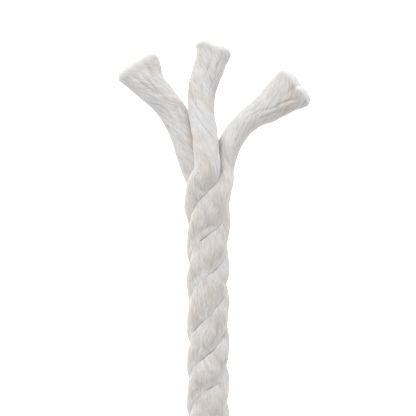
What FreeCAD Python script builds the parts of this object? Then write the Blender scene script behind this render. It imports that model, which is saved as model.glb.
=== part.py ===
"""Three-strand dock line, 12 mm by 6 m: one end unlaid into its three heat-sealed strands, the rest wound
into a tied coil. Millimetres, +Z up. The part lies on z = 0 and its origin is the middle of its footprint.

Two local frames are used, and each object's Placement takes it from there to the part's frame:
- the end frame, at the crotch where the strands come apart: X across, Y along the rope towards the strand tips,
  Z up from the surface that the line lies on;
- the coil frame, at the middle of the coil on that surface, turned the same way as the end frame.
"""
import FreeCAD, Part
import math
import os

from FreeCAD import Placement, Rotation, Vector

DRIVING_SIZES = {
    "rope_diameter": 12.0,
    "strand_diameter": 6.4,
    "coil_mean_radius": 62.0,
    "coil_width_turns": 3,
    "coil_layers": 5,
    "nest_shift": 3.0,  # odd layers lie this much further out and even ones further in
    "layer_rise": 10.4,
    "coil_aside": 50.0,  # from the straight lead's axis to the coil's middle
    "coil_behind": 157.0,  # from the crotch back to the coil's middle
    "footprint_half": 54.3,  # from the footprint's middle to the coil's middle
    "tie_diameter": 2.5,
    "tie_width": 10.0,
    "tie_bite": 1.5,  # how deep a tie pulls into the bundle of turns
    "tail_angle": 62.0,  # the stretch of rope that lies in the top layer's open seat
    "tail_end_angle": 104.0,
    "tail_gap_angle": 56.0,  # the empty part of the seat past the tail's end
    "whipping_angle": 14.0,
    "whipping_inset_angle": 4.0,
    "whipping_wall": 0.8,
    "seat_clearance": 0.2,
    "seal_flare_length": 4.5,
    "seal_half_width": 5.4,
    "seal_half_height": 3.3,
    "seal_dome": 1.6,
    "tail_dome": 2.5,
}

# Routes of the parts of the line that aren't coiled, in the end frame. The lead runs straight back from the
# crotch and bends into the coil's outermost turn.
LEAD_ROUTE = [(0, 0, 6), (0, -86, 6), (8.5, -107, 6), (22.5, -132, 6)]
STRAND_ROUTES = {
    "left": [
        (-3.7, 0, 4.2), (-5.4, 5.0, 3.6), (-7.2, 10.4, 3.4), (-10.2, 15.9, 3.3), (-13.4, 20.4, 3.5),
        (-16.6, 24.8, 3.8),
    ],
    "middle": [
        (0, 0, 9.9), (-0.3, 5.2, 9.2), (-0.8, 10.8, 7.9), (-1.7, 16.4, 6.4), (-1.6, 22.4, 4.9),
        (0.2, 28.8, 4.1),
    ],
    "right": [
        (3.7, 0, 4.2), (4.6, 4.8, 3.7), (6.9, 9.6, 3.5), (11.0, 14.4, 3.4), (15.8, 17.6, 3.4),
        (20.5, 20.5, 3.8),
    ],
}
SEAL_LEANS = {"left": 12, "middle": -14, "right": 8}  # degrees that each flattened tip is turned out of level
TIE_ANGLES = (20, 140, 260)  # degrees round the coil, from its +X towards its +Y
LEAST_RADIUS_DIAMETERS = 2.5  # the tightest bend, where the limp strands splay

doc = FreeCAD.newDocument("dock_line")
sheet = doc.addObject("Spreadsheet::Sheet", "Sizes")
for row, (alias, number) in enumerate(DRIVING_SIZES.items(), start=1):
    sheet.set(f"A{row}", alias)
    sheet.set(f"B{row}", str(number))
    sheet.setAlias(f"B{row}", alias)
doc.recompute()


def size(alias):
    return float(sheet.get(alias))


# Sizes that follow from the driving ones: as text for the objects' expressions, and as numbers for placing them.
ROPE_RADIUS = size("rope_diameter") / 2
BUNDLE_WIDTH = "Sizes.coil_width_turns * Sizes.rope_diameter + 2 * Sizes.nest_shift"
BUNDLE_HEIGHT = "Sizes.rope_diameter + (Sizes.coil_layers - 1) * Sizes.layer_rise"
INNER_TURN = (
    "Sizes.coil_mean_radius + Sizes.nest_shift"
    " - (Sizes.coil_width_turns - 1) / 2 * Sizes.rope_diameter"
)
COIL_HALF_WIDTH = size("coil_width_turns") * ROPE_RADIUS + size("nest_shift")
COIL_HEIGHT = size("rope_diameter") + (size("coil_layers") - 1) * size("layer_rise")
INNER_TURN_RADIUS = (
    size("coil_mean_radius")
    + size("nest_shift")
    - (size("coil_width_turns") - 1) / 2 * size("rope_diameter")
)
TOP_TURN_HEIGHT = COIL_HEIGHT - ROPE_RADIUS

UP = Vector(0, 0, 1)
# The end points towards -Y, so both local frames are turned half a turn about Z.
TURNED = Rotation(UP, 180)
COIL_FRAME = Placement(Vector(0, size("footprint_half"), 0), TURNED)
END_FRAME = Placement(
    Vector(-size("coil_aside"), size("footprint_half") - size("coil_behind"), 0), TURNED
)
subparts = {}


def moved(x=0, y=0, z=0):
    return Placement(Vector(x, y, z), Rotation())


def turned(axis, degrees):
    return Placement(Vector(), Rotation(axis, degrees))


def primitive(kind, name, placement, **expressions):
    """A Part primitive in its place, with sizes that are expressions of the sheet's cells."""
    obj = doc.addObject(f"Part::{kind}", name)
    for prop, expression in expressions.items():
        obj.setExpression(prop, expression)
    obj.Placement = placement
    return obj


def boolean(kind, name, base, tool):
    obj = doc.addObject(f"Part::{kind}", name)
    obj.Base = base
    obj.Tool = tool
    return obj


def fused(name, shapes):
    obj = doc.addObject("Part::MultiFuse", name)
    obj.Shapes = shapes
    return obj


def subpart(obj, label):
    """Makes an object one of the part's nodes; its label is the name of its file."""
    obj.Label = label
    subparts[label] = obj
    return obj


# ---------------------------------------------------------------- tubes along a route


def rounded_path(route):
    """Straight runs joined by tangent arcs. Each arc takes up 0.45 of the shorter run beside it.
    Returns the wire and the arcs' radii."""
    points = [Vector(*p) for p in route]
    edges, radii, start = [], [], points[0]
    for before, corner, after in zip(points, points[1:], points[2:]):
        come = (corner - before).normalize()
        go = (after - corner).normalize()
        reach = 0.45 * min((corner - before).Length, (after - corner).Length)
        half_turn = come.getAngle(go) / 2
        radius = reach / math.tan(half_turn)
        inward = (go - come).normalize()
        middle = corner + inward * (radius / math.cos(half_turn) - radius)
        arc_start = corner - come * reach
        arc_end = corner + go * reach
        edges.append(Part.LineSegment(start, arc_start).toShape())
        edges.append(Part.Arc(arc_start, middle, arc_end).toShape())
        radii.append(radius)
        start = arc_end
    edges.append(Part.LineSegment(start, points[-1]).toShape())
    return Part.Wire(edges), radii


def tube(name, route, diameter_alias):
    """A round tube swept along a route in the end frame, compared with its section times its length."""
    path, radii = rounded_path(route)
    spine = doc.addObject("Part::Feature", f"{name}_route")
    spine.Shape = path
    spine.Placement = END_FRAME
    first_run = Vector(*route[1]) - Vector(*route[0])
    section = primitive(
        "Circle",
        f"{name}_section",
        END_FRAME * Placement(Vector(*route[0]), Rotation(UP, first_run)),
        Radius=f"Sizes.{diameter_alias} / 2",
    )
    sweep = doc.addObject("Part::Sweep", f"{name}_tube")
    sweep.Sections = [section]
    sweep.Spine = (spine, [])
    sweep.Solid = True
    sweep.Transition = "Right corner"
    doc.recompute()
    diameter = size(diameter_alias)
    expected = math.pi * diameter**2 / 4 * path.Length
    if abs(sweep.Shape.Volume - expected) > 0.02 * expected:
        raise RuntimeError(f"{name}: volume {sweep.Shape.Volume:.0f}, expected {expected:.0f}")
    print(f"{name}: {path.Length:.1f} mm long, radii {[round(r, 1) for r in radii]} mm")
    if min(radii) < LEAST_RADIUS_DIAMETERS * diameter:
        raise RuntimeError(f"{name}: a bend is tighter than {LEAST_RADIUS_DIAMETERS} diameters")
    return sweep


# ---------------------------------------------------------------- the coil


def on_turn(radius, height, degrees):
    """A place on a turn of the coil: its X points away from the coil's middle and its Y along the turn."""
    return COIL_FRAME * turned(UP, degrees) * moved(radius, 0, height)


def rounded_along(name, box, radius, direction):
    """A box with its four edges along a direction rounded."""
    doc.recompute()
    obj = doc.addObject("Part::Fillet", name)
    obj.Base = box
    obj.Edges = [
        (number, radius, radius)
        for number, edge in enumerate(box.Shape.Edges, start=1)
        if abs(edge.tangentAt(edge.FirstParameter).dot(direction)) > 0.99
    ]
    return obj


def coil_ring():
    """The coil's outer shape: a ring of rounded rectangular section."""
    outside = primitive(
        "Cylinder",
        "coil_outside",
        COIL_FRAME,
        Radius=f"Sizes.coil_mean_radius + ({BUNDLE_WIDTH}) / 2",
        Height=BUNDLE_HEIGHT,
    )
    hole = primitive(
        "Cylinder",
        "coil_hole",
        COIL_FRAME,
        Radius=f"Sizes.coil_mean_radius - ({BUNDLE_WIDTH}) / 2",
        Height=BUNDLE_HEIGHT,
    )
    square = boolean("Cut", "coil_square_ring", outside, hole)
    doc.recompute()
    rounded = doc.addObject("Part::Fillet", "coil_ring")
    rounded.Base = square
    corner = ROPE_RADIUS - 0.5
    rounded.Edges = [
        (number, corner, corner)
        for number, edge in enumerate(square.Shape.Edges, start=1)
        if isinstance(edge.Curve, Part.Circle)
    ]
    return rounded


def tail_seat():
    """The open place in the top layer's innermost turn, for the rope's tail and the gap past its end."""
    spare = size("whipping_wall") + size("seat_clearance")
    sweep = f"{size('tail_gap_angle') + size('tail_angle')}"
    low = moved(0, 0, COIL_HEIGHT - 2 * ROPE_RADIUS - spare)
    place = COIL_FRAME * turned(UP, size("tail_end_angle") - size("tail_gap_angle")) * low
    height = "Sizes.rope_diameter * 1.5"
    clear = "Sizes.whipping_wall + Sizes.seat_clearance"
    outside = primitive(
        "Cylinder",
        "seat_outside",
        place,
        Radius=f"{INNER_TURN} + Sizes.rope_diameter / 2 + {clear}",
        Height=height,
        Angle=sweep,
    )
    core = primitive(
        "Cylinder",
        "seat_core",
        place,
        Radius=f"{INNER_TURN} - Sizes.rope_diameter",
        Height=height,
        Angle=sweep,
    )
    return boolean("Cut", "tail_seat", outside, core)


# ---------------------------------------------------------------- the ties


def tie(number, degrees):
    """Small cord wound round the bundle of turns and knotted on top: a band, a knot and the cord's two ends."""
    name = f"tie_{number}"
    proud = size("tie_diameter") - size("tie_bite")
    mean = size("coil_mean_radius")
    outer_half = COIL_HALF_WIDTH + proud
    inner_half = COIL_HALF_WIDTH - size("tie_bite")
    aside = moved(0, -size("tie_width") / 2, 0)
    along = (on_turn(mean, 0, degrees).Rotation).multVec(Vector(0, 1, 0))
    outside = primitive(
        "Box",
        f"{name}_outside_box",
        on_turn(mean - outer_half, 0, degrees) * aside,
        Length=f"{BUNDLE_WIDTH} + 2 * (Sizes.tie_diameter - Sizes.tie_bite)",
        Width="Sizes.tie_width",
        Height=f"{BUNDLE_HEIGHT} + Sizes.tie_diameter - Sizes.tie_bite",
    )
    inside = primitive(
        "Box",
        f"{name}_inside_box",
        on_turn(mean - inner_half, size("tie_diameter"), degrees) * aside,
        Length=f"{BUNDLE_WIDTH} - 2 * Sizes.tie_bite",
        Width="Sizes.tie_width",
        Height=f"{BUNDLE_HEIGHT} - Sizes.tie_bite - Sizes.tie_diameter",
    )
    band = boolean(
        "Cut",
        f"{name}_band",
        rounded_along(f"{name}_outside", outside, ROPE_RADIUS + proud, along),
        rounded_along(f"{name}_inside", inside, ROPE_RADIUS - size("tie_bite"), along),
    )
    top = COIL_HEIGHT + proud
    knot = primitive(
        "Ellipsoid",
        f"{name}_knot",
        on_turn(mean, top, degrees),
        Radius1="Sizes.tie_diameter * 1.2",
        Radius2="Sizes.tie_diameter * 2",
        Radius3="Sizes.tie_diameter * 1.6",
    )
    ends = [
        primitive(
            "Cylinder",
            f"{name}_end_{letter}",
            on_turn(mean, top + 0.55 * size("tie_diameter"), degrees)
            * turned(UP, lean)
            * turned(Vector(1, 0, 0), tip_over),
            Radius="Sizes.tie_diameter / 2",
            Height="Sizes.tie_width * 1.6",
        )
        for letter, lean, tip_over in (("a", 25, -90), ("b", -25, 90))
    ]
    return subpart(fused(f"coil_tie_{number}", [band, knot, *ends]), f"coil_tie_{number}")


# ---------------------------------------------------------------- the tail


def turn_stretch(name, end_angle, wall, **expressions):
    """A stretch of the top layer's innermost turn, from end_angle on, as thick as the rope and a wall."""
    return primitive(
        "Torus",
        name,
        COIL_FRAME * turned(UP, end_angle) * moved(0, 0, TOP_TURN_HEIGHT),
        Radius1=INNER_TURN,
        Radius2=f"Sizes.rope_diameter / 2 + {wall}",
        **expressions,
    )


def tail_parts(holding_tie):
    """The rope's last stretch, its whipping and its fused end."""
    end_angle = size("tail_end_angle")
    stretch = turn_stretch("tail_stretch", end_angle, "0", Angle3="Sizes.tail_angle")
    tail = subpart(boolean("Cut", "rope_tail", stretch, holding_tie), "rope_tail")
    whipping_from = end_angle + size("whipping_inset_angle")
    outside, bore = (
        turn_stretch(name, whipping_from, wall, Angle3="Sizes.whipping_angle")
        for name, wall in (("whipping_outside", "Sizes.whipping_wall"), ("whipping_bore", "0"))
    )
    whipping = subpart(boolean("Cut", "tail_whipping", outside, bore), "tail_whipping")
    cap = primitive(
        "Ellipsoid",
        "tail_sealed_end",
        on_turn(INNER_TURN_RADIUS, TOP_TURN_HEIGHT, end_angle) * turned(Vector(1, 0, 0), 90),
        Radius1="Sizes.tail_dome",
        Radius2="Sizes.rope_diameter / 2",
        Radius3="Sizes.rope_diameter / 2",
    )
    cap.Angle1 = 0
    subpart(cap, "tail_sealed_end")
    return tail, whipping


# ---------------------------------------------------------------- the strands' sealed ends


def sealed_end(side, lean):
    """A strand's fused tip: it flares from the strand to a flattened oval with a domed face."""
    tip = Vector(*STRAND_ROUTES[side][-1])
    out = tip - Vector(*STRAND_ROUTES[side][-2])
    at_tip = END_FRAME * Placement(tip, Rotation(UP.cross(out), Vector(), out, "ZXY")) * turned(UP, lean)
    flare = size("seal_flare_length")
    root = primitive("Circle", f"{side}_seal_root", at_tip, Radius="Sizes.strand_diameter / 2")
    middle = primitive(
        "Ellipse",
        f"{side}_seal_middle",
        at_tip * moved(z=0.45 * flare),
        MajorRadius="(Sizes.strand_diameter / 2 + Sizes.seal_half_width) / 2",
        MinorRadius="Sizes.strand_diameter / 2",
    )
    rim = primitive(
        "Ellipse",
        f"{side}_seal_rim",
        at_tip * moved(z=flare),
        MajorRadius="Sizes.seal_half_width",
        MinorRadius="Sizes.seal_half_height",
    )
    cone = doc.addObject("Part::Loft", f"{side}_seal_flare")
    cone.Sections = [root, middle, rim]
    cone.Solid = True
    dome = primitive(
        "Ellipsoid",
        f"{side}_seal_dome",
        at_tip * moved(z=flare),
        Radius1="Sizes.seal_dome",
        Radius2="Sizes.seal_half_width",
        Radius3="Sizes.seal_half_height",
    )
    dome.Angle1 = 0
    return subpart(fused(f"sealed_end_{side}", [cone, dome]), f"sealed_end_{side}")


# ---------------------------------------------------------------- putting the line together

ring = coil_ring()
ties = [tie(number, degrees) for number, degrees in enumerate(TIE_ANGLES, start=1)]
tail_parts(holding_tie=ties[1])
room = fused("coil_room", [tail_seat(), *ties])
subpart(boolean("Cut", "rope_coil", ring, room), "rope_coil")
lead_tube = tube("rope_lead", LEAD_ROUTE, "rope_diameter")
subpart(boolean("Cut", "rope_lead", lead_tube, ring), "rope_lead")
for side, route in STRAND_ROUTES.items():
    subpart(tube(f"strand_{side}", route, "strand_diameter"), f"strand_{side}")
    sealed_end(side, SEAL_LEANS[side])
doc.recompute()

# ---------------------------------------------------------------- checks and files

for obj in doc.Objects:
    if {"Invalid", "Error"} & set(obj.State):
        raise RuntimeError(f"{obj.Label} failed: {obj.State}")
os.makedirs("parts", exist_ok=True)
whole = FreeCAD.BoundBox()
for label, obj in subparts.items():
    shape = obj.Shape
    if shape.isNull() or not shape.isValid():
        raise RuntimeError(f"{label} has no valid shape")
    if len(shape.Solids) != 1:
        raise RuntimeError(f"{label} has {len(shape.Solids)} solids, not one")
    shape.exportStep(f"parts/{label}.step")
    whole.add(shape.optimalBoundingBox())
print(f"x {whole.XMin:.2f} to {whole.XMax:.2f}, y {whole.YMin:.2f} to {whole.YMax:.2f}, "
      f"z {whole.ZMin:.2f} to {whole.ZMax:.2f}")
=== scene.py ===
"""How the three-strand dock line looks: its open end, its coil, the coil's ties and the whipped tail.

Shapes are worked out in millimetres in the end frame: X across, Y along the rope towards the strand tips,
Z up, and the origin under the crotch, where the strands come apart. to_row() takes them to the part's frame.
"""
import math

import bpy
import numpy as np
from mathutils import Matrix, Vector


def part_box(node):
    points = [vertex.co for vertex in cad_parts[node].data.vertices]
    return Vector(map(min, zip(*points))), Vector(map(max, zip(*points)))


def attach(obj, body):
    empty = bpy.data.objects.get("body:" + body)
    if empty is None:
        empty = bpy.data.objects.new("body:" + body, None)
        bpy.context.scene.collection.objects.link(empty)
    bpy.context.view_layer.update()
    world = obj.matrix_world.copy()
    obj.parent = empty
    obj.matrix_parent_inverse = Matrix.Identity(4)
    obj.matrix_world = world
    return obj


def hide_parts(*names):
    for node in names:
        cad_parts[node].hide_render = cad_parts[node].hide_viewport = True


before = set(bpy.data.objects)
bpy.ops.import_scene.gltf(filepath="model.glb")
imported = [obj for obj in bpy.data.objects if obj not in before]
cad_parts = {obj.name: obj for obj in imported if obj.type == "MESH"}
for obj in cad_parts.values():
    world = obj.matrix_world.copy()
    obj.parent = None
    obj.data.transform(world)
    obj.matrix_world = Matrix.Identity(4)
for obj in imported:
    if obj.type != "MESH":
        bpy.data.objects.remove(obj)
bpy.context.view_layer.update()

HALF_TURN = math.pi
FULL_TURN = 2 * math.pi
UP = np.array([0.0, 0.0, 1.0])

ROPE_RADIUS = 6.0
STRAND_CENTRE = 3.3  # from the rope's axis to a laid strand's centre
CROWN_MIDDLE = 1.95  # a laid strand's crown is an arc about a point this far from the rope's axis
CORNER = 0.6  # how rounded the crown's two edges are
AXIS_STEP = 0.5  # between the points kept along the rope's axis
AROUND = 128  # points round an open strand
SHARES_AROUND = np.arange(AROUND) / AROUND
COIL_AROUND = 12  # points round a strand of the coil
# As a strand's material reads it: its radius, and the length that is one unit along it.
FIBRE_RADIUS = 3.3
FIBRE_UNIT = 9.0

lead_low, lead_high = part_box("rope_lead")
ORIGIN = np.array([lead_high.x * 1000 - ROPE_RADIUS, lead_low.y * 1000, 0.0])

# The coil: five layers of three turns, each layer seated in the grooves of the one below.
COIL_MIDDLE = np.array([-50.0, -157.0])
MEAN_RADIUS = 62.0
LAYER_RISE = 10.4
TURN_RADII = (77, 65, 53), (47, 59, 71)  # in even layers, which wind inwards, and odd ones
LAST_TURN = 14  # counted from 0
SWING = 7.5  # how far the rope swings aside where it climbs to the next layer
TAIL_TURNS = 14.811  # turns wound from FIRST_DEGREES to the tail's end
FIRST_DEGREES = 36
TIE_ANGLES = (20, 140, 260)
# Under a tie the bundle is squeezed: how far turns rise at three heights, and how much of their way to the
# coil's mean radius they move.
SQUEEZE_HEIGHTS, SQUEEZE_RISE = (6, 26.8, 47.6), (3.2, 0.4, -2.0)
SQUEEZE_INWARDS = 2 / 15
# A spline of order 3 runs inside the corners of its control points. These are its shares of their radius.
COIL_INSIDE = 0.9914
LAY_INSIDE = 0.966

# Routes in the end frame, near the part's own. The lead's second point keeps its straight stretch straight.
LEAD = [(0, 0, 6), (0, -63.3, 6), (0, -86, 6), (8.5, -107, 6), (22.5, -132, 9.0)]
STRANDS = {
    "left": {
        "nodes": ["strand_left"],
        "turn": -120,
        "tip": (-20.7, 30.7, 3.9),
        "route": [
            (-3.7, 0, 4.2), (-5.4, 5.0, 3.6), (-6.8, 10.4, 3.4), (-9.2, 16.3, 3.3), (-12.7, 21.0, 3.5),
            (-16.8, 25.1, 3.8),
        ],
    },
    "middle": {
        "nodes": ["strand_middle", "rope_lead"],
        "turn": 0,
        "tip": (1.95, 36.0, 4.1),
        "route": [
            (0, 0, 9.9), (-0.3, 5.2, 9.2), (-0.8, 10.8, 7.9), (-1.8, 16.4, 6.4), (-1.8, 22.4, 4.9),
            (-0.1, 28.8, 4.1),
        ],
    },
    "right": {
        "nodes": ["strand_right"],
        "turn": 120,
        "tip": (25.6, 25.3, 4.0),
        "route": [
            (3.7, 0, 4.2), (4.5, 4.8, 3.7), (6.6, 9.8, 3.5), (10.7, 14.7, 3.4), (15.5, 17.9, 3.4),
            (20.2, 20.9, 3.8),
        ],
    },
}


def to_row(points):
    """End-frame millimetres to row-frame metres: half a turn about Z, then a move."""
    p = np.asarray(points, float)
    return (ORIGIN + p * np.array([-1.0, -1.0, 1.0])) * 0.001


def smooth(x):
    x = np.clip(x, 0.0, 1.0)
    return x * x * (3 - 2 * x)


def unit(v):
    return v / np.linalg.norm(v, axis=-1, keepdims=True)


def noise_line(rng, positions, spacing, amplitude=1.0):
    """Smooth random values along a line, one knot per spacing."""
    positions = np.asarray(positions, float)
    low, high = positions.min(), positions.max()
    knots = np.arange(low - 2 * spacing, high + 3 * spacing, spacing)
    values = rng.uniform(-1, 1, len(knots))
    place = (positions - knots[0]) / spacing
    i = np.clip(place.astype(int), 0, len(knots) - 2)
    f = smooth(place - i)
    return amplitude * (values[i] * (1 - f) + values[i + 1] * f)


# ---------------------------------------------------------------- lines


def spline_points(control, resolution):
    """Points along the NURBS spline that has these control points, in end-frame millimetres."""
    curve = bpy.data.curves.new("line", "CURVE")
    curve.dimensions = "3D"
    spline = curve.splines.new("NURBS")
    spline.points.add(len(control) - 1)
    row = to_row(control)
    for point, place in zip(spline.points, row):
        point.co = (*place, 1.0)
    spline.order_u = 3
    spline.use_endpoint_u = True
    spline.resolution_u = resolution
    holder = bpy.data.objects.new("line", curve)
    bpy.context.scene.collection.objects.link(holder)
    bpy.context.view_layer.update()
    mesh = bpy.data.meshes.new_from_object(holder.evaluated_get(bpy.context.evaluated_depsgraph_get()))
    co = np.zeros(len(mesh.vertices) * 3)
    mesh.vertices.foreach_get("co", co)
    bpy.data.objects.remove(holder)
    bpy.data.curves.remove(curve)
    bpy.data.meshes.remove(mesh)
    points = (co.reshape(-1, 3) * 1000 - ORIGIN) * np.array([-1.0, -1.0, 1.0])
    keep = np.r_[True, np.linalg.norm(np.diff(points, axis=0), axis=1) > 1e-6]
    return points[keep]


def lengths_along(points):
    return np.r_[0, np.cumsum(np.linalg.norm(np.diff(points, axis=0), axis=1))]


def at_lengths(points, wanted):
    s = lengths_along(points)
    return np.stack([np.interp(wanted, s, points[:, k]) for k in range(3)], 1)


def tangents(points):
    return unit(np.gradient(points, axis=0))


def carried_frames(points):
    """Tangents and two side directions along a line, turned as little as can be."""
    t = tangents(points)
    side = np.cross(t[0], UP)
    sides = [side / np.linalg.norm(side)]
    for k in range(1, len(points)):
        v = sides[-1] - t[k] * (sides[-1] @ t[k])
        sides.append(v / np.linalg.norm(v))
    a = np.array(sides)
    return t, a, np.cross(t, a)


# ---------------------------------------------------------------- meshes


def ring_mesh(name, rings, fibre, fused=None, worn_and_shade=None, gap_shade=None, close_first=True):
    """A skin over rings of points, closed at its ends, with what its material reads: fibre coordinates and, by
    point or by ring, how fused it is, how soiled and darkened it is (partly soil, partly painted shade), and
    how much painted shade it gets from lying deep in a groove."""
    m, n, _ = rings.shape
    shut = [0, -1] if close_first else [-1]

    def with_middles(grid):
        """A grid's values in one list, then each shut end's mean, for the point in its middle."""
        middles = np.array([grid[row].mean(0) for row in shut]).reshape(len(shut), *grid.shape[2:])
        return np.concatenate([grid.reshape(m * n, *grid.shape[2:]), middles])

    k = np.arange(n)
    after = (k + 1) % n
    base = (np.arange(m - 1) * n)[:, None]
    quads = np.stack([base + k, base + after, base + n + after, base + n + k], -1).reshape(-1, 4)
    faces = [quads.ravel()]
    sizes = [np.full(len(quads), 4)]
    for number, row in enumerate(shut):
        start = 0 if row == 0 else (m - 1) * n
        fan = np.stack([np.full(n, m * n + number), start + after, start + k], -1)
        if row != 0:
            fan = fan[:, [0, 2, 1]]
        faces.append(fan.ravel())
        sizes.append(np.full(n, 3))
    points = with_middles(rings)
    loops = np.concatenate(faces).astype(np.int32)
    sizes = np.concatenate(sizes).astype(np.int32)
    starts = np.r_[0, np.cumsum(sizes)[:-1]].astype(np.int32)
    mesh = bpy.data.meshes.new(name)
    mesh.vertices.add(len(points))
    mesh.vertices.foreach_set("co", to_row(points).astype(np.float32).ravel())
    mesh.loops.add(len(loops))
    mesh.loops.foreach_set("vertex_index", loops)
    mesh.polygons.add(len(sizes))
    mesh.polygons.foreach_set("loop_start", starts)
    mesh.polygons.foreach_set("loop_total", sizes)
    mesh.polygons.foreach_set("use_smooth", np.ones(len(sizes), bool))
    mesh.update(calc_edges=True)
    mesh.validate()
    attribute = mesh.attributes.new("fibre", "FLOAT_VECTOR", "POINT")
    attribute.data.foreach_set("vector", with_middles(fibre).astype(np.float32).ravel())
    for label, values in (("fused", fused), ("worn_and_shade", worn_and_shade), ("gap_shade", gap_shade)):
        if values is not None:
            grid = values if values.ndim == 2 else np.repeat(values[:, None], n, 1)
            attribute = mesh.attributes.new(label, "FLOAT", "POINT")
            attribute.data.foreach_set("value", with_middles(grid).astype(np.float32))
    return mesh


def piece(name, mesh, material, slot, *nodes):
    obj = bpy.data.objects.new(name, mesh)
    bpy.context.scene.collection.objects.link(obj)
    mesh.materials.append(material)
    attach(obj, "root")
    if nodes:
        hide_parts(*nodes)
    return obj


# ---------------------------------------------------------------- materials


class Nodes:
    """Short calls for building a material's node tree."""

    def __init__(self, name):
        self.material = bpy.data.materials.new(name)
        self.material.use_nodes = True
        self.tree = self.material.node_tree
        self.shader = self.tree.nodes["Principled BSDF"]

    def add(self, kind, **settings):
        node = self.tree.nodes.new(f"ShaderNode{kind}")
        for key, value in settings.items():
            setattr(node, key, value)
        return node

    def link(self, source, target):
        self.tree.links.new(source, target)

    def scaled(self, vector, scale):
        node = self.add("Mapping")
        self.link(vector, node.inputs["Vector"])
        node.inputs["Scale"].default_value = scale
        return node.outputs["Vector"]

    def noise(self, vector, scale, detail=3.0, roughness=0.55):
        node = self.add("TexNoise")
        self.link(vector, node.inputs["Vector"])
        node.inputs["Scale"].default_value = scale
        node.inputs["Detail"].default_value = detail
        node.inputs["Roughness"].default_value = roughness
        return node.outputs["Fac"]

    def ramp(self, value, *stops):
        node = self.add("ValToRGB")
        self.link(value, node.inputs["Fac"])
        ramp = node.color_ramp
        while len(ramp.elements) < len(stops):
            ramp.elements.new(0.5)
        for element, (position, colour) in zip(ramp.elements, stops):
            element.position = position
            element.color = (*colour, 1.0)
        return node.outputs["Color"]

    def mix(self, factor, a, b, blend="MIX"):
        node = self.add("Mix", data_type="RGBA", blend_type=blend)
        for socket, value in ((node.inputs[0], factor), (node.inputs[6], a), (node.inputs[7], b)):
            if hasattr(value, "is_output"):
                self.link(value, socket)
            elif isinstance(value, tuple):
                socket.default_value = (*value, 1.0)
            else:
                socket.default_value = value
        return node.outputs[2]

    def math(self, operation, a, b=0.0):
        node = self.add("Math", operation=operation)
        for socket, value in zip(node.inputs, (a, b)):
            if hasattr(value, "is_output"):
                self.link(value, socket)
            else:
                socket.default_value = value
        return node.outputs[0]

    def bump(self, height, distance, strength=1.0, normal=None):
        node = self.add("Bump")
        self.link(height, node.inputs["Height"])
        node.inputs["Distance"].default_value = distance
        node.inputs["Strength"].default_value = strength
        if normal is not None:
            self.link(normal, node.inputs["Normal"])
        return node.outputs["Normal"]


WHITE = (0.62, 0.61, 0.603)
WARM = (0.575, 0.536, 0.500)
COOL = (0.625, 0.63, 0.645)
# A darker, warmer tone: partly soil, partly painted shade.
WORN_AND_SHADE = (0.575, 0.538, 0.51)
# Painted shade: what these darken is multiplied by them.
SHADE = (0.80, 0.78, 0.765)
THIN_SHADE = (0.74, 0.715, 0.695)
GAP_SHADE = (0.76, 0.73, 0.70)
FIBRE_ROUGHNESS = 0.52


def grey(value):
    return (value, value, value)


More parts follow.
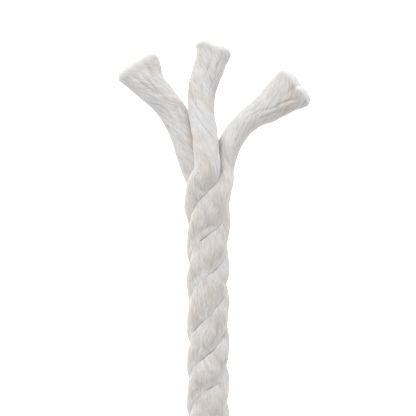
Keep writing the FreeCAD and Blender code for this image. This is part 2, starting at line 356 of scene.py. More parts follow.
def fibre_material(name, sheen):
    """Bundled filaments: fine streaks along the fibres, thin lines of painted shade for the gaps between
    filaments, warmer and cooler patches, darker, warmer crowns (partly soil, partly painted shade) and painted
    shade in the grooves between yarns."""
    n = Nodes(name)
    fibre = n.add("Attribute", attribute_name="fibre").outputs["Vector"]
    fine = n.noise(n.scaled(fibre, (1.0, 1.0, 0.8)), 4.2, 5.0, 0.72)
    broad = n.noise(n.scaled(fibre, (1.0, 1.0, 2.6)), 1.1, 3.0, 0.55)
    patch = n.noise(n.scaled(fibre, (0.35, 0.35, 1.5)), 0.75, 2.0, 0.5)
    wisp = n.noise(n.scaled(fibre, (1.0, 1.0, 0.6)), 7.5, 2.0, 0.7)
    # How soiled and shaded a point is: it turns the tone darker and warmer and strengthens the painted shade
    # of the folds.
    worn_and_shade = n.add("Attribute", attribute_name="worn_and_shade").outputs["Fac"]
    tone = n.ramp(patch, (0.39, COOL), (0.51, WHITE), (0.63, WARM))
    tone = n.mix(worn_and_shade, n.mix(0.35, tone, WHITE), n.mix(0.5, tone, WORN_AND_SHADE))
    streak = n.ramp(fine, (0.34, (0.75, 0.745, 0.74)), (0.5, grey(0.97)), (0.64, grey(1.12)))
    colour = n.mix(1.0, tone, streak, "MULTIPLY")
    # Painted shade in the broad folds, where the broad bump dips; stronger on the darker, warmer parts.
    folds = n.ramp(broad, (0.34, SHADE), (0.45, grey(1.0)))
    shaded = n.math("ADD", n.math("MULTIPLY", worn_and_shade, 0.25), 0.15)
    colour = n.mix(shaded, colour, folds, "MULTIPLY")
    threads = n.ramp(wisp, (0.6, grey(1.0)), (0.72, grey(1.12)))
    colour = n.mix(0.6, colour, threads, "MULTIPLY")
    # Painted shade: thin dark lines standing for the narrow gaps between filaments, only where the broad noise
    # is high.
    thin_shade_lines = n.noise(n.scaled(fibre, (1.0, 1.0, 0.42)), 2.3, 2.5, 0.6)
    thin = n.ramp(thin_shade_lines, (0.465, grey(1.0)), (0.5, THIN_SHADE), (0.53, grey(1.0)))
    here = n.ramp(broad, (0.42, grey(0.0)), (0.56, grey(0.75)))
    colour = n.mix(here, colour, thin, "MULTIPLY")
    # Painted shade: the deeper a point lies in a groove or fold, the darker its colour.
    gap_shade = n.add("Attribute", attribute_name="gap_shade").outputs["Fac"]
    colour = n.mix(gap_shade, colour, n.mix(1.0, colour, GAP_SHADE, "MULTIPLY"))
    n.link(colour, n.shader.inputs["Base Color"])
    height = n.math("ADD", n.math("MULTIPLY", fine, 0.7), n.math("MULTIPLY", wisp, 0.3))
    normal = n.bump(height, 0.00022, 0.75)
    n.link(n.bump(broad, 0.0004, 0.25, normal), n.shader.inputs["Normal"])
    n.link(n.math("ADD", n.math("MULTIPLY", fine, 0.2), FIBRE_ROUGHNESS), n.shader.inputs["Roughness"])
    n.shader.inputs["Sheen Weight"].default_value = sheen
    n.shader.inputs["Sheen Roughness"].default_value = 0.45
    n.shader.inputs["Specular IOR Level"].default_value = 0.3
    n.shader.inputs["Subsurface Weight"].default_value = 0.4
    n.shader.inputs["Subsurface Radius"].default_value = (1.0, 0.9, 0.85)
    n.shader.inputs["Subsurface Scale"].default_value = 0.0009
    return n


rope_nylon = fibre_material("rope_nylon", 0.5).material


def fused_material():
    """Filaments melted together: the streaks fade out towards a smooth, slightly waxy face."""
    n = fibre_material("fused_nylon", 0.2)
    fused = n.add("Attribute", attribute_name="fused").outputs["Fac"]
    place = n.add("TexCoord").outputs["Object"]
    cloud = n.noise(place, 420.0, 3.0, 0.6)
    wax = n.ramp(cloud, (0.3, (0.62, 0.605, 0.59)), (0.7, (0.69, 0.685, 0.68)))
    streaks = n.shader.inputs["Base Color"].links[0].from_socket
    n.link(n.mix(fused, streaks, wax), n.shader.inputs["Base Color"])
    rough = n.shader.inputs["Roughness"].links[0].from_socket
    n.link(n.math("SUBTRACT", rough, n.math("MULTIPLY", fused, 0.22)), n.shader.inputs["Roughness"])
    return n.material


fused_nylon = fused_material()


def cord_material(name, colour, dark, scale):
    """A small hard-laid cord: fine filaments and shaded grooves."""
    n = Nodes(name)
    fibre = n.add("Attribute", attribute_name="fibre").outputs["Vector"]
    fine = n.noise(n.scaled(fibre, (1.0, 1.0, 1.0)), scale, 4.0, 0.6)
    patch = n.noise(n.scaled(fibre, (0.4, 0.4, 0.5)), scale * 0.2, 2.0)
    tone = n.mix(patch, dark, colour)
    streak = n.ramp(fine, (0.3, grey(0.72)), (0.62, grey(1.0)))
    n.link(n.mix(1.0, tone, streak, "MULTIPLY"), n.shader.inputs["Base Color"])
    n.link(n.bump(fine, 0.00015, 0.7), n.shader.inputs["Normal"])
    n.link(n.math("ADD", n.math("MULTIPLY", fine, 0.25), 0.55), n.shader.inputs["Roughness"])
    n.shader.inputs["Sheen Weight"].default_value = 0.2
    return n.material


tie_cord = cord_material("tie_cord", (0.74, 0.71, 0.66), (0.62, 0.585, 0.53), 5.0)
whipping_twine = cord_material("whipping_twine", (0.70, 0.66, 0.58), (0.56, 0.51, 0.43), 9.0)


# ---------------------------------------------------------------- the rope's axis


def seat(turn):
    """Where a turn lies between its shifts: its radius, its height and its layer."""
    layer = turn // 3
    return TURN_RADII[layer % 2][turn % 3], ROPE_RADIUS + LAYER_RISE * layer, layer


def turn_place(turns):
    """Radius and height of the wound rope after so many turns. It shifts to the next turn's place near the
    end of each turn, and swings out of its neighbours' way where it climbs to the next layer."""
    k = int(math.floor(turns))
    radius, height, layer = seat(k)
    if k < LAST_TURN:
        next_radius, next_height, next_layer = seat(k + 1)
        w = float(smooth((turns - k - 0.836) / 0.139))
        radius += (next_radius - radius) * w
        if next_layer != layer:
            radius += math.copysign(SWING, next_radius - MEAN_RADIUS) * 4 * w * (1 - w)
        height += (next_height - height) * w
    return radius, height


def axis_control():
    """The lead's route, then the coil: 24 points a turn, squeezed together under each tie."""
    points = [np.array(p, float) for p in LEAD]
    degrees, step = 5.0, 15.0
    while True:
        turns = (FIRST_DEGREES - degrees) / 360
        last = turns >= TAIL_TURNS - 0.02
        if last:
            turns = TAIL_TURNS
            degrees = FIRST_DEGREES - 360 * turns
        radius, height = turn_place(turns)
        if min(abs((degrees - a + 180) % 360 - 180) for a in TIE_ANGLES) < 1:
            height += float(np.interp(height, SQUEEZE_HEIGHTS, SQUEEZE_RISE))
            radius += (MEAN_RADIUS - radius) * SQUEEZE_INWARDS
        reach, angle = radius / COIL_INSIDE, math.radians(degrees)
        x, y = COIL_MIDDLE[0] + reach * math.cos(angle), COIL_MIDDLE[1] + reach * math.sin(angle)
        points.append(np.array([x, y, height]))
        if last:
            return np.array(points)
        degrees -= step


axis = spline_points(axis_control(), 24)
axis = at_lengths(axis, np.arange(0, lengths_along(axis)[-1], AXIS_STEP))
axis_length = lengths_along(axis)[-1]


def lay_pitch(depth):
    """The lay's length: longer where it has worked loose at the open end."""
    return np.interp(depth, (0, 66, 90), (35.6, 30.2, 31.5))


depths = lengths_along(axis)
lay_angle = -np.r_[0, np.cumsum(FULL_TURN / lay_pitch(depths[:-1] + AXIS_STEP / 2) * np.diff(depths))]
axis_out = -tangents(axis)  # towards the strand tips
axis_side = unit(np.cross(axis_out, UP))
axis_up = np.cross(axis_side, axis_out)


def axis_places(depth):
    """Places on the rope's axis, with the directions to its side, upwards and towards the strand tips."""
    return [
        np.stack([np.interp(depth, depths, line[:, k]) for k in range(3)], -1)
        for line in (axis, axis_side, axis_up, axis_out)
    ]


def strand_place(depth, turn, radius):
    """A laid strand's centre at a depth along the axis."""
    angle = np.interp(depth, depths, lay_angle) + math.radians(turn)
    c, side, up, _ = axis_places(depth)
    return c + radius * (math.sin(angle) * side + math.cos(angle) * up)


# ---------------------------------------------------------------- a laid strand's section


def sector_outline(count, crown_share=1.0):
    """A laid strand's section from its inner edge round: a third of the rope's, with the rope's axis at 0.
    Its crown is an arc about CROWN_MIDDLE, and an arc of radius CORNER joins that to each flat side. Its
    points are crown_share times as close together on the crown."""
    third = math.radians(60)
    crown = ROPE_RADIUS - CROWN_MIDDLE
    # A corner's middle is reach along a flat side and CORNER in from it, and crown - CORNER from the crown's
    # middle. That makes a quadratic in reach.
    inward = CORNER**2 - 2 * math.sin(third) * CORNER * CROWN_MIDDLE
    last_term = inward + CROWN_MIDDLE**2 - (crown - CORNER) ** 2
    reach = (CROWN_MIDDLE + math.sqrt(CROWN_MIDDLE**2 - 4 * last_term)) / 2
    at_x = reach * math.cos(third) + CORNER * math.sin(third)
    at_y = reach * math.sin(third) - CORNER * math.cos(third)
    turn = math.atan2(at_y, at_x - CROWN_MIDDLE)
    apex = CORNER / math.sin(third)
    flat = math.radians(150)
    pieces = []

    def arc(cx, cy, r, a, b):
        angles = np.linspace(a, b, 400)
        pieces.append(np.stack([cx + r * np.cos(angles), cy + r * np.sin(angles)], 1))

    arc(apex, 0, CORNER, -HALF_TURN, -flat)
    arc(at_x, -at_y, CORNER, -flat, -turn)
    arc(CROWN_MIDDLE, 0, crown, -turn, turn)
    arc(at_x, at_y, CORNER, turn, flat)
    arc(apex, 0, CORNER, flat, HALF_TURN)
    line = np.vstack(pieces)
    steps = np.linalg.norm(np.diff(line, axis=0), axis=1)
    steps *= np.where(line[1:, 0] > at_x - 0.3, crown_share, 1.0)
    s = np.r_[0, np.cumsum(steps)]
    wanted = s[-1] * np.arange(count) / count
    return np.stack([np.interp(wanted, s, line[:, 0]), np.interp(wanted, s, line[:, 1])], 1)


def packed(around, along, reach):
    """How far the groove between two strands is filled, in millimetres, by the angle round the rope, the
    place along it and the distance from its axis. It is filled most on top, where it has been handled."""
    waves = 0.3 * np.sin(along / 1.3 + around + 0.7) + 0.25 * np.sin(along / 2.3 - 2 * around + 2.0)
    filled = np.clip(0.5 + waves + 0.25 * np.sin(along / 6.1 + 3 * around), 0.05, 0.85)
    filled = filled * (1 - 0.75 * smooth((0.62 - np.cos(around)) / 0.5))
    return filled * np.clip(5.5 - reach, 0, 2) * smooth((reach - 3.3) / 0.9)


def on_crown(reach):
    """How near a laid strand's crown a place is, by its distance from the axis. The material paints crowns
    darker and warmer: partly soil, partly painted shade.
    """
    return smooth((reach - 4.9) / 0.95)


def fibre_places(radius, turned, along):
    """What a strand's material reads: places round it, by shares of a turn, and along it."""
    angle = FULL_TURN * turned
    return np.stack([radius * np.cos(angle), radius * np.sin(angle), along[:, None] + 0 * turned], -1)


# ---------------------------------------------------------------- the three strands of the open end

# Where the open strands' pieces end and the wound rope's begin, under the first tie.
SEAM_DEPTH = float(depths[np.argmin(np.linalg.norm(axis[:300] - np.array(LEAD[-1]), axis=1))])

# How each strand is shaped near its face. left, right, height: its half-widths and half-height at the
# distances from_face. face: how far the face leans forward, by the share across. notch: a fold's share across,
# how far back it runs from the face, and its depth. folds: each one's distance from the face and share across
# at its two ends, its depth and its width. edge: how rounded the face's rim is. worn_and_shade: how much
# darker and warmer it is near the face, partly soil and partly painted shade. fused: how much of it is melted.
TIPS = {
    "left": {
        "from_face": (0, 1.5, 3.5, 6, 9, 12, 16, 21, 29, 40),
        "left": (6.6, 6.45, 5.85, 5.2, 4.6, 4.3, 4.1, 3.9, 3.65, 3.55),
        "right": (6.5, 6.6, 6.3, 5.3, 4.2, 3.8, 3.85, 3.9, 3.6, 3.5),
        "height": (2.9, 2.95, 3.0, 3.1, 3.2, 3.25, 3.25, 3.25, 3.3, 3.3),
        "face": lambda x: 0.3 - 0.55 * x**2 - 0.9 * np.clip(x - 0.4, 0, 1) ** 1.6,
        "notch": None,
        "folds": [
            (2.5, -0.45, 12, -0.1, 0.204, 0.35), (4, -0.05, 14, 0.15, 0.252, 0.35),
            (1.5, 0.42, 11, 0.3, 0.156, 0.45), (13, -0.55, 21, -0.2, 0.204, 0.3),
            (16, 0.5, 24, 0.1, 0.18, 0.3),
        ],
        "edge": 1.4,
        "worn_and_shade": 0.0,
        "fused": 3.2,
    },
    "middle": {
        "from_face": (0, 1.5, 3.5, 6, 9, 12, 16, 25, 36),
        "left": (5.3, 5.2, 4.3, 4.2, 4.35, 4.25, 3.9, 3.65, 3.6),
        "right": (5.1, 5.25, 5.05, 4.65, 4.3, 3.95, 3.7, 3.4, 3.55),
        "height": (3.1, 3.15, 3.2, 3.2, 3.25, 3.25, 3.25, 3.3, 3.3),
        "face": lambda x: 0.6 * np.exp(-(((x + 0.5) / 0.3) ** 2)) - 1.2 * np.clip(abs(x) - 0.65, 0, 1) - 0.2,
        "notch": None,
        "folds": [
            (3, 0.1, 14, -0.1, 0.18, 0.4), (4, -0.5, 12, -0.55, 0.132, 0.35),
            (17, -0.7, 25, 0.5, 0.252, 0.3), (21, -0.6, 29, 0.6, 0.228, 0.3),
            (24, -0.75, 32, 0.3, 0.204, 0.28), (2, 0.5, 10, 0.62, 0.192, 0.4),
        ],
        "edge": 1.25,
        "worn_and_shade": 0.25,
        "fused": 2.6,
    },
    "right": {
        "from_face": (0, 1.5, 3.5, 6, 9, 12, 14.5, 20, 30),
        "left": (5.6, 5.9, 5.85, 5.45, 4.75, 4.0, 3.45, 3.1, 3.25),
        "right": (6.2, 6.8, 6.5, 5.4, 5.05, 4.7, 3.9, 3.5, 3.6),
        "height": (3.0, 3.05, 3.1, 3.15, 3.2, 3.25, 3.25, 3.25, 3.3),
        "face": lambda x: 0.2 - 0.75 * np.exp(-(((x - 0.12) / 0.28) ** 2)) - 0.55 * x**2,
        "notch": (0.12, 10, 0.4),
        "folds": [
            (3, 0.5, 13, 0.2, 0.216, 0.35), (5, 0.78, 15, 0.5, 0.18, 0.3),
            (6, -0.35, 17, -0.4, 0.12, 0.35), (11, 0.1, 19, -0.1, 0.156, 0.3),
        ],
        "edge": 1.6,
        "worn_and_shade": 0.9,
        "fused": 2.8,
    },
}
# Turns of the yarns round their strand in a millimetre of it, where it is laid and where it is open.
LAID_TWIST, OPEN_TWIST = 0.0493, 0.0246


def eased(at, knots, values):
    """Values between knots, with the corners of the straight runs between them rounded off."""
    return sum(np.interp(at + step, knots, values) for step in (-0.9, -0.45, 0, 0.45, 0.9)) / 5


def strand_line(spec):
    """A strand's centreline, laid from under the first tie and then along its own route to its face."""
    control = [spec["tip"], *spec["route"][::-1]]
    depth = lay_pitch(0) / 12
    while depth < SEAM_DEPTH + 0.1:
        loosened = 0.55 * (1 - smooth(depth / 9))
        control.append(strand_place(depth, spec["turn"], (STRAND_CENTRE + loosened) / LAY_INSIDE))
        depth += lay_pitch(depth) / 12
    control.append(strand_place(SEAM_DEPTH, spec["turn"], STRAND_CENTRE))
    return spline_points(control, 20)[::-1]


def beside_axis(places):
    """The rope's axis beside these places: where it is, its direction, and how far along it that is, negative
    inside the rope. The axis goes on straight past the crotch."""
    beyond = np.arange(AXIS_STEP, 45, AXIS_STEP)
    straight = np.stack([0 * beyond, beyond, 0 * beyond + ROPE_RADIUS], 1)[::-1]
    long_axis = np.vstack([straight, axis[: int(SEAM_DEPTH / AXIS_STEP) + 8]])
    nearest = np.argmin(((places[:, None] - long_axis[None]) ** 2).sum(-1), 1)
    out = -tangents(long_axis)[nearest]
    offset = ((places - long_axis[nearest]) * out).sum(-1, keepdims=True)
    return long_axis[nearest] + offset * out, out, beyond[-1] - nearest * AXIS_STEP + offset[:, 0]


def ring_directions(centre, foot, normal, along):
    """Each ring's two directions. The first is away from the rope's axis while the strand is laid, and is
    carried on from ring to ring past the crotch. The second is square to it."""
    e1 = centre - foot
    start = int(np.argmax(along > -0.5))
    for k in range(len(centre)):
        v = e1[k] if k <= start else e1[k - 1]
        v = v - normal[k] * (v @ normal[k])
        e1[k] = v / np.linalg.norm(v)
    return e1, np.cross(normal, e1)


def level_oval(tip, from_face, normal, e1, e2):
    """An open strand's outline: an oval that lies level and is squarer near the face. Also its points' share
    across, how low they are, and the half-width on their side."""
    left_w, right_w, half_h = (
        eased(from_face, tip["from_face"], tip[key]) for key in ("left", "right", "height")
    )
    level = unit(np.cross(normal, UP))
    down = np.cross(normal, level)
    level_angle = np.arctan2((level * e2).sum(-1), (level * e1).sum(-1))
    theta = HALF_TURN + FULL_TURN * SHARES_AROUND[None, :] - level_angle[:, None]
    x, z = np.cos(theta), np.sin(theta)
    squarish = smooth((6 - from_face) / 6)[:, None] * 0.25
    stretch = (np.abs(x) ** 3 + np.abs(z) ** 3 + 1e-9) ** (-1 / 3) * squarish + (1 - squarish)
    half_w = np.where(x < 0, left_w[:, None], right_w[:, None])
    wide = half_w * x * stretch
    high = half_h[:, None] * z * stretch
    oval_x, oval_y = (
        wide * (level * e).sum(-1)[:, None] + high * (down * e).sum(-1)[:, None] for e in (e1, e2)
    )
    return oval_x, oval_y, x * stretch, z, half_w


def yarn_relief(rng, u_turned, s, count=20):
    """Outward height of a strand's yarns and folds, at places round it (with its twist) and along it."""
    wobble = sum(
        0.3 * np.sin(FULL_TURN * (s[:, None] / rng.uniform(10, 30) + u_turned * m) + rng.uniform(0, 6.3))
        for m in (1, 2, 3)
    )
    y = count * u_turned + wobble
    index = np.floor(y).astype(int) % count
    part = y - np.floor(y)
    depth = np.stack([0.085 + noise_line(rng, s, 5.0, 0.075) for _ in range(count)], 1)
    depth += rng.uniform(-0.04, 0.06, count)
    depth = np.clip(depth, 0.01, None)
    here = np.take_along_axis(depth, index, 1)
    neighbour = np.take_along_axis(depth, (index + np.where(part > 0.5, 1, -1)) % count, 1)
    edge = np.abs(2 * part - 1)
    groove = (here + neighbour) / 2 * edge**2.6
    lumps = sum(
        0.05 * np.sin(FULL_TURN * (s[:, None] / rng.uniform(7, 22) + m * u_turned) + rng.uniform(0, 6.3))
        for m in (1, 2, 3, 4)
    )
    relief = lumps - groove
    length = s[-1] - s[0]
    for _ in range(int(length / 4.5)):  # folds: short, deeper gaps between bundles of yarn
        at_u, at_s = rng.uniform(0, 1), s[0] + rng.uniform(0, length)
        across = (u_turned - at_u + 0.5) % 1 - 0.5 + 0.0009 * (s[:, None] - at_s)
        along = (s[:, None] - at_s) / rng.uniform(3.5, 8)
        relief -= rng.uniform(0.08, 0.24) * np.exp(-((across / rng.uniform(0.012, 0.02)) ** 2) - along**2)
    return relief


def fold_depth(folds, from_face, across, half_w):
    """How deep a strand's placed folds are, by the distance from its face and the share across it."""
    depth = 0 * across
    for near, x_near, far, x_far, deep, wide in folds:
        line_x = np.interp(from_face, (near, far), (x_near, x_far))
        line_x += 0.03 * np.sin(from_face * 1.1 + 7 * x_near)
        ends = smooth((from_face - near + 2) / 4) * smooth((far + 2 - from_face) / 4)
        aside = (across - line_x[:, None]) * half_w / wide
        depth += deep * ends[:, None] * np.exp(-(aside**2))
    return depth


def lay_shift(around, along):
    """How far a lay that has been handled runs ahead or behind along the rope, by the angle round it. All
    three strands share it, so they still meet. It dies out before the seam."""
    held = smooth((along + 118) / 20)
    waves = 0.35 * np.sin(around + along / 5.3 + 1.0) + 0.25 * np.sin(2 * around - along / 8.1 + 0.4)
    return held * (waves - 0.6 * np.sin(2 * around))


def face_caps(reach, edge):
    """For each ring of a face, how much of the last ring's reach it keeps and how far ahead it is. Its rim
    rounds over, and its middle is a shallow, uneven dome."""
    caps = []
    for angle in np.radians(np.arange(12, 91, 13)):
        keep = (reach - edge * (1 - math.cos(angle))) / reach
        caps.append((keep, np.full(AROUND, edge * math.sin(angle))))
    rim = caps[-1][0]
    for share in (0.88, 0.74, 0.58, 0.42, 0.27, 0.14, 0.05):
        bulge = 0.35 * (1 - share**2) + 0.08 * np.sin(5 * FULL_TURN * SHARES_AROUND + 3 * share) * share
        caps.append((rim * share, edge + bulge))
    return np.array(caps).swapaxes(0, 1)


def open_strand(number, side):
    """One strand, laid from under the first tie and then along its own curve to its fused face: its
    centreline, the rings of its skin, and what its material reads there."""
    spec, tip = STRANDS[side], TIPS[side]
    rng = np.random.default_rng(11 + number)
    line = strand_line(spec)
    total = lengths_along(line)[-1]
    fine_from, last = total - 122, total - tip["edge"]
    s = np.r_[np.arange(0, fine_from, 0.55), np.arange(fine_from, last, 0.27), last]
    centre = at_lengths(line, s)
    t = tangents(centre)
    foot, out, along = beside_axis(centre)
    laid = 1 - smooth((along[:, None] + 8) / 10)
    normal = unit(laid * out + (1 - laid) * t)
    e1, e2 = ring_directions(centre, foot, normal, along)

    # The outline goes from the laid section to the open oval.
    from_face = total - s
    oval_x, oval_y, across, lower, half_w = level_oval(tip, from_face, normal, e1, e2)
    sector = sector_outline(AROUND)
    looser = 1 + 0.12 * smooth((along[:, None] + 19) / 13)
    pressed = 1.03 + noise_line(rng, s, 6.0, 0.05)[:, None] * smooth((along[:, None] + 115) / 20)
    lay_x = sector[None, :, 0] * looser - np.linalg.norm(centre - foot, axis=1)[:, None]
    lay_y = sector[None, :, 1] * looser * pressed
    px, py = laid * lay_x + (1 - laid) * oval_x, laid * lay_y + (1 - laid) * oval_y

    # The yarns' own twist, and their relief.
    inside = smooth((3 - along) / 12)
    rate = LAID_TWIST * inside + OPEN_TWIST * (1 - inside)
    twist = np.r_[0, np.cumsum(rate[:-1] * np.diff(s))]
    turned = (SHARES_AROUND[None, :] + twist[:, None]) % 1.0
    relief = yarn_relief(rng, turned, s) * (0.65 + 0.35 * laid)
    strayed = turned + sum(
        0.006 * np.sin(FULL_TURN * (s[:, None] / rng.uniform(3, 9) + turned * m) + rng.uniform(0, 6.3))
        for m in (1, 2, 3, 5)
    )
    relief *= smooth((from_face - 0.8) / 3.5)[:, None] * 0.85 + 0.15
    relief -= fold_depth(tip["folds"], from_face, across, half_w) * (1 - laid) * smooth(0.6 - 3 * lower)
    # How deep a point lies in a groove or fold, for the material's painted shade.
    gap_shade = np.clip((-relief - 0.08) / 0.35, 0, 1)
    step_x, step_y = (np.roll(p, -1, 1) - np.roll(p, 1, 1) for p in (px, py))
    step = np.hypot(step_x, step_y) + 1e-9
    px, py = px + relief * step_y / step, py - relief * step_x / step
    rings = centre[:, None] + px[..., None] * e1[:, None] + py[..., None] * e2[:, None]

    # How the laid strands fill their grooves and run ahead or behind.
    side_dir = unit(np.cross(out, UP))
    up_dir = np.cross(side_dir, out)
    spoke = rings - foot[:, None]
    around = np.arctan2((spoke * side_dir[:, None]).sum(-1), (spoke * up_dir[:, None]).sum(-1))
    reach = np.linalg.norm(spoke, axis=-1)
    rings = rings + (laid * packed(around, along[:, None], reach) / reach)[..., None] * spoke
    rings = rings + (laid * lay_shift(around, along[:, None]))[..., None] * out[:, None]

    # The face, how far it leans forward, and the fold that runs back from a notch.
    keep, ahead = face_caps(np.hypot(px[-1], py[-1]), tip["edge"])
    face = (px[-1] * keep)[..., None] * e1[-1] + (py[-1] * keep)[..., None] * e2[-1]
    rings = np.concatenate([rings, centre[-1] + ahead[..., None] * t[-1] + face])
    from_face = np.r_[from_face, np.zeros(len(keep))]
    across = (rings - centre[-1]) @ unit(np.cross(normal[-1], UP)) / tip["left"][0]
    forward = tip["face"](across) * smooth((4.5 - from_face) / 4.5)[:, None]
    rings = rings + forward[..., None] * t[-1]
    if tip["notch"]:
        at_x, back, deep = tip["notch"]
        aside = (across - at_x + 0.012 * from_face[:, None]) / 0.11
        weight = np.exp(-(aside**2)) * (1 - smooth(from_face / back))[:, None]
        rings[..., 2] -= deep * weight * np.sign(rings[..., 2] - centre[-1][2])
    rings[..., 2] = np.maximum(rings[..., 2], 0.0)  # it lies on the floor

    # What the material reads, which goes on over the face from the last ring.
    shrink = keep.mean(1)
    fibre = fibre_places(FIBRE_RADIUS, strayed, s / FIBRE_UNIT)
    over_face = np.repeat(fibre[-1:], len(keep), 0)
    over_face[..., :2] *= shrink[:, None, None]
    fibre = np.concatenate([fibre, over_face]) + 20.0 * number
    # Darker, warmer tone inside the laid rope and near the faces of the middle and right strands, kept to the
    # crowns where the strands are laid: partly soil, partly painted shade.
    worn_and_shade = smooth((12 - along) / 26) + tip["worn_and_shade"] * smooth((16 - from_face[: len(s)]) / 12)
    worn_and_shade = worn_and_shade[:, None] * (1 - 0.75 * laid * (1 - on_crown(reach)))
    worn_and_shade = np.concatenate([worn_and_shade, np.repeat(worn_and_shade[-1:], len(keep), 0)])
    gap_shade = np.concatenate([gap_shade, np.repeat(gap_shade[-1:], len(keep), 0) * shrink[:, None]])
    return line, rings, fibre, from_face, worn_and_shade, gap_shade


for number, side in enumerate(STRANDS):
    line, rings, fibre, from_face, worn_and_shade, gap_shade = open_strand(number, side)
    fused_length = TIPS[side]["fused"]
    cut = int(np.argmax(from_face < fused_length))
    before, after = slice(cut + 1), slice(cut, None)
    mesh = ring_mesh(f"{side}_strand", rings[before], fibre[before], worn_and_shade=worn_and_shade[before], gap_shade=gap_shade[before])
    strand = piece(f"{side}_strand", mesh, rope_nylon, "rope_nylon", *STRANDS[side]["nodes"])
    fused = smooth((fused_length - 0.6 - from_face[after]) / (fused_length - 1.4))
    mesh = ring_mesh(f"{side}_fused_end", rings[after], fibre[after], fused, worn_and_shade[after], gap_shade[after], False)
    end = piece(f"{side}_fused_end", mesh, fused_nylon, "fused_nylon", f"sealed_end_{side}")


# ---------------------------------------------------------------- the rest of the rope

HELIX_LENGTH = 1.155  # of a laid strand in a millimetre of the rope's axis
COIL_TWIST = -0.057  # turns of the yarns in a millimetre of the rope's axis


def laid_rope():
    """The three strands laid together, from under the first tie to the tail, and their line."""
    outline = sector_outline(COIL_AROUND, crown_share=2.2)
    u = np.arange(COIL_AROUND) / COIL_AROUND
    spots = np.r_[np.arange(SEAM_DEPTH - 1.0, axis_length, 2.2), axis_length]
    c, side, _, out = axis_places(spots)
    side = unit(side - out * (side * out).sum(-1, keepdims=True))
    up = np.cross(side, out)
    meshes = []
    for number, spec in enumerate(STRANDS.values()):
        rng = np.random.default_rng(30 + number)
        angle = np.interp(spots, depths, lay_angle) + math.radians(spec["turn"])
        e1 = np.sin(angle)[:, None] * side + np.cos(angle)[:, None] * up
        e2 = np.cross(out, e1)
        lumps = 1 + noise_line(rng, spots, 19.0, 0.012)
        x, y = outline[None, :, 0] * lumps[:, None], outline[None, :, 1] * lumps[:, None]
        reach = np.hypot(x, y)
        share = 1 + packed(angle[:, None] + np.arctan2(y, x), -spots[:, None], reach) / reach
        x, y = x * share, y * share
        rings = c[:, None] + x[..., None] * e1[:, None] + y[..., None] * e2[:, None]
        turned = u[None, :] + COIL_TWIST * spots[:, None]
        fibre = fibre_places(FIBRE_RADIUS, turned, spots * HELIX_LENGTH / FIBRE_UNIT)
        fibre[..., 0] += 60 + 20 * number
        # Darker, warmer on the crowns and a little everywhere: partly soil, partly painted shade.
        worn_and_shade = 0.25 + 0.75 * on_crown(np.hypot(x, y))
        meshes.append(ring_mesh(f"part_{number}", rings[::-1], fibre[::-1], worn_and_shade=worn_and_shade[::-1]))
    return meshes, c


def joined(name, meshes):
    holders = []
    for mesh in meshes:
        holder = bpy.data.objects.new(name, mesh)
        bpy.context.scene.collection.objects.link(holder)
        holders.append(holder)
    with bpy.context.temp_override(
        active_object=holders[0], selected_editable_objects=holders, selected_objects=holders
    ):
        bpy.ops.object.join()
    mesh = holders[0].data
    bpy.data.objects.remove(holders[0])
    mesh.name = name
    return mesh


rope_meshes, rope_line = laid_rope()
rope_mesh = joined("wound_rope", rope_meshes)
rope = piece("wound_rope", rope_mesh, rope_nylon, "rope_nylon", "rope_coil", "rope_tail")


# ---------------------------------------------------------------- small cords


def small_cord(name, control, radius, pitch, step, around, lobe=0.12):
    """A small three-strand cord along control points in the end frame."""
    line = spline_points(control, 8)
    line = at_lengths(line, np.arange(0, lengths_along(line)[-1], step))
    t, a, b = carried_frames(line)
    s = lengths_along(line)
    u = np.arange(around) / around
    angle = FULL_TURN * (u[None, :] - s[:, None] / pitch)
    r = radius * (1 - lobe * (1 - np.abs(np.cos(1.5 * angle))) ** 1.5)
    wide, high = r * np.cos(FULL_TURN * u), r * np.sin(FULL_TURN * u)
    rings = line[:, None] + wide[..., None] * a[:, None] + high[..., None] * b[:, None]
    ends = [(share, ahead * radius) for share, ahead in ((0.9, 0.3), (0.6, 0.55))]  # rounded off
    first = [line[0] - t[0] * d + (rings[0] - line[0]) * k for k, d in ends[::-1]]
    last = [line[-1] + t[-1] * d + (rings[-1] - line[-1]) * k for k, d in ends]
    rings = np.concatenate([first, rings, last])
    s = np.r_[[s[0]] * 2, s, [s[-1]] * 2]
    return ring_mesh(name, rings, fibre_places(radius, u[None, :] + s[:, None] / pitch, s / 6.0))


def on_coil(radius, aside, height, degrees):
    """End-frame place at a radius from the coil's middle, aside along the turn, at an angle."""
    angle = math.radians(degrees)
    c, s = math.cos(angle), math.sin(angle)
    return (
        COIL_MIDDLE[0] + radius * c - aside * s,
        COIL_MIDDLE[1] + radius * s + aside * c,
        height,
    )


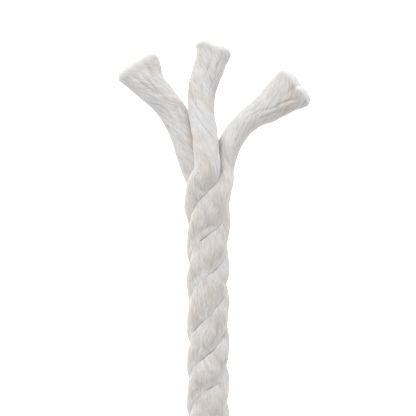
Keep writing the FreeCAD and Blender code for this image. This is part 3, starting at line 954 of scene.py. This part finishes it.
def tie_control(degrees, rng):
    """Four wraps round the bundle of turns and a reef knot on top, with its two ends lying beside it."""
    inner, outer, low, high, corner = 41.25, 82.75, 1.25, 53.35, 6.5
    wraps, spread, stray = 4, 3.9, 0.12
    loop = []

    def corner_points(cr, cz, start):
        for step in (0, 30, 60, 90):
            angle = math.radians(start + step)
            loop.append((cr + corner * math.cos(angle), cz + corner * math.sin(angle)))

    loop.append((56.0, high))
    corner_points(inner + corner, high - corner, 90)
    loop.extend((inner, z) for z in np.linspace(high - corner - 5, low + corner + 5, 6))
    corner_points(inner + corner, low + corner, 180)
    loop.extend((r, low) for r in (54, 62, 70))
    corner_points(outer - corner, low + corner, 270)
    loop.extend((outer, z) for z in np.linspace(low + corner + 5, high - corner - 5, 6))
    corner_points(outer - corner, high - corner, 0)
    loop.append((68.0, high))
    total = wraps * len(loop)
    wound = []
    for k in range(total):
        r, z = loop[k % len(loop)]
        aside = -spread + 2 * spread * k / (total - 1) + rng.uniform(-stray, stray)
        wound.append((r, aside, z))
    top = high + 2.4
    # The knot's two bights, one from each side, drawn up over each other.
    first = [
        (45.5, -6.5, high + 0.6), (50.0, -4.6, high + 0.9), (55.5, -2.6, top), (60.0, -1.5, top),
        (64.5, -2.4, top + 0.9), (66.2, 0.0, top + 1.9), (64.2, 2.6, top + 0.9), (60.0, 1.5, top - 0.4),
        (57.5, -0.8, top - 1.4),
    ]
    second = [
        (66.5, 1.0, top - 1.6), (64.0, 1.2, top + 0.3), (60.0, 3.2, top + 0.6), (57.8, 0.6, top + 2.3),
        (59.6, -2.8, top + 1.2), (64.0, -1.6, top - 0.6), (68.5, 1.2, top - 0.9), (73.0, 3.6, high + 0.9),
        (77.5, 5.8, high + 0.6),
    ]
    return [on_coil(r, aside, z, degrees) for r, aside, z in [*first, *wound, *second]]


for number, degrees in enumerate(TIE_ANGLES, start=1):
    control = tie_control(degrees, np.random.default_rng(50 + number))
    mesh = small_cord(f"tie_{number}", control, 1.25, 7.5, 0.75, 15)
    piece(f"tie_{number}", mesh, tie_cord, "tie_cord", f"coil_tie_{number}")


def whipping_control():
    """The twine's turns along the tail, from near its end, sunk a little into the rope."""
    turns, points_in_turn, from_end, length = 13, 14, 4.0, 13.0
    count = turns * points_in_turn
    reach = (ROPE_RADIUS + 0.25) / math.cos(HALF_TURN / points_in_turn)
    control = []
    for k in range(count + 1):
        c, side, up, _ = axis_places(axis_length - (from_end + length * k / count))
        angle = FULL_TURN * k / points_in_turn
        control.append(c + reach * (math.cos(angle) * side + math.sin(angle) * up))
    return control


whipping_mesh = small_cord("whipping", whipping_control(), 0.52, 3.0, 1.1, 9, 0.08)
whipping = piece("whipping", whipping_mesh, whipping_twine, "whipping_twine", "tail_whipping")


def tail_end():
    """The tail's face, where the three strands are melted together into one low dome."""
    c, side, up, out = axis_places(axis_length)
    count = 54
    around = FULL_TURN * np.arange(count) / count
    lobes = 1 - 0.085 * (1 - np.abs(np.cos(1.5 * (around - lay_angle[-1])))) ** 1.6
    # Each ring's share of the rope's radius, and how far past the rope's end it is.
    rows = [
        (1.005, -0.9), (1.02, -0.2), (1.0, 0.45), (0.93, 1.2),
        (0.8, 1.75), (0.6, 2.15), (0.38, 2.35), (0.15, 2.42),
    ]
    rings = []
    for share, ahead in rows:
        r = ROPE_RADIUS * share * (1 - (1 - lobes) * share)
        spoke = (r * np.sin(around))[:, None] * side + (r * np.cos(around))[:, None] * up
        rings.append(c - out * ahead + spoke)
    rings = np.array(rings)[::-1]
    fibre = np.stack([rings[..., 0] - c[0], rings[..., 1] - c[1], rings[..., 2] * 0.2], -1)
    fused = np.linspace(1, 0.3, len(rows))
    return ring_mesh("tail_fused_end", rings, fibre, fused, np.ones(len(rows)))


tail_fused_end = piece("tail_fused_end", tail_end(), fused_nylon, "fused_nylon", "tail_sealed_end")

# ---------------------------------------------------------------- floor, light and camera

floor_mesh = bpy.data.meshes.new("floor")
floor_mesh.from_pydata([(-8, -8, 0), (8, -8, 0), (8, 8, 0), (-8, 8, 0)], [], [(0, 1, 2, 3)])
floor = bpy.data.objects.new("floor", floor_mesh)
floor.location.z = -0.0003
bpy.context.scene.collection.objects.link(floor)
paper = Nodes("paper")
paper.shader.inputs["Base Color"].default_value = (0.92, 0.92, 0.92, 1)
paper.shader.inputs["Roughness"].default_value = 0.9
paper.shader.inputs["Specular IOR Level"].default_value = 0.1
paper.shader.inputs["Emission Color"].default_value = (1, 1, 1, 1)
paper.shader.inputs["Emission Strength"].default_value = 0.68
floor_mesh.materials.append(paper.material)

world = bpy.data.worlds.new("studio")
world.use_nodes = True
world.node_tree.nodes["Background"].inputs["Color"].default_value = (1, 1, 1, 1)
world.node_tree.nodes["Background"].inputs["Strength"].default_value = 0.48
bpy.context.scene.world = world


def softbox(name, place, aim, size, power):
    lamp = bpy.data.lights.new(name, "AREA")
    lamp.shape = "RECTANGLE"
    lamp.size, lamp.size_y = size
    lamp.energy = power
    holder = bpy.data.objects.new(name, lamp)
    holder.location = place
    direction = np.array(aim) - np.array(place)
    holder.rotation_mode = "QUATERNION"
    holder.rotation_quaternion = Vector(direction).to_track_quat("-Z", "Y")
    bpy.context.scene.collection.objects.link(holder)


target = to_row((0, -10, 6))
softbox("key", target + np.array([0.36, -0.86, 0.9]), target, (0.8, 0.7), 15)
softbox("fill", target + np.array([-0.9, 0.3, 0.9]), target, (1.0, 1.0), 4)

camera = bpy.data.objects.new("camera", bpy.data.cameras.new("camera"))
camera.data.lens = 100
camera.data.sensor_width = 36
camera.data.clip_start = 0.01
camera.location = target + np.array([0, 0, 0.3222])
camera.rotation_euler = (0, 0, HALF_TURN)
bpy.context.scene.collection.objects.link(camera)
bpy.context.scene.camera = camera
bpy.context.scene.view_settings.view_transform = "Standard"
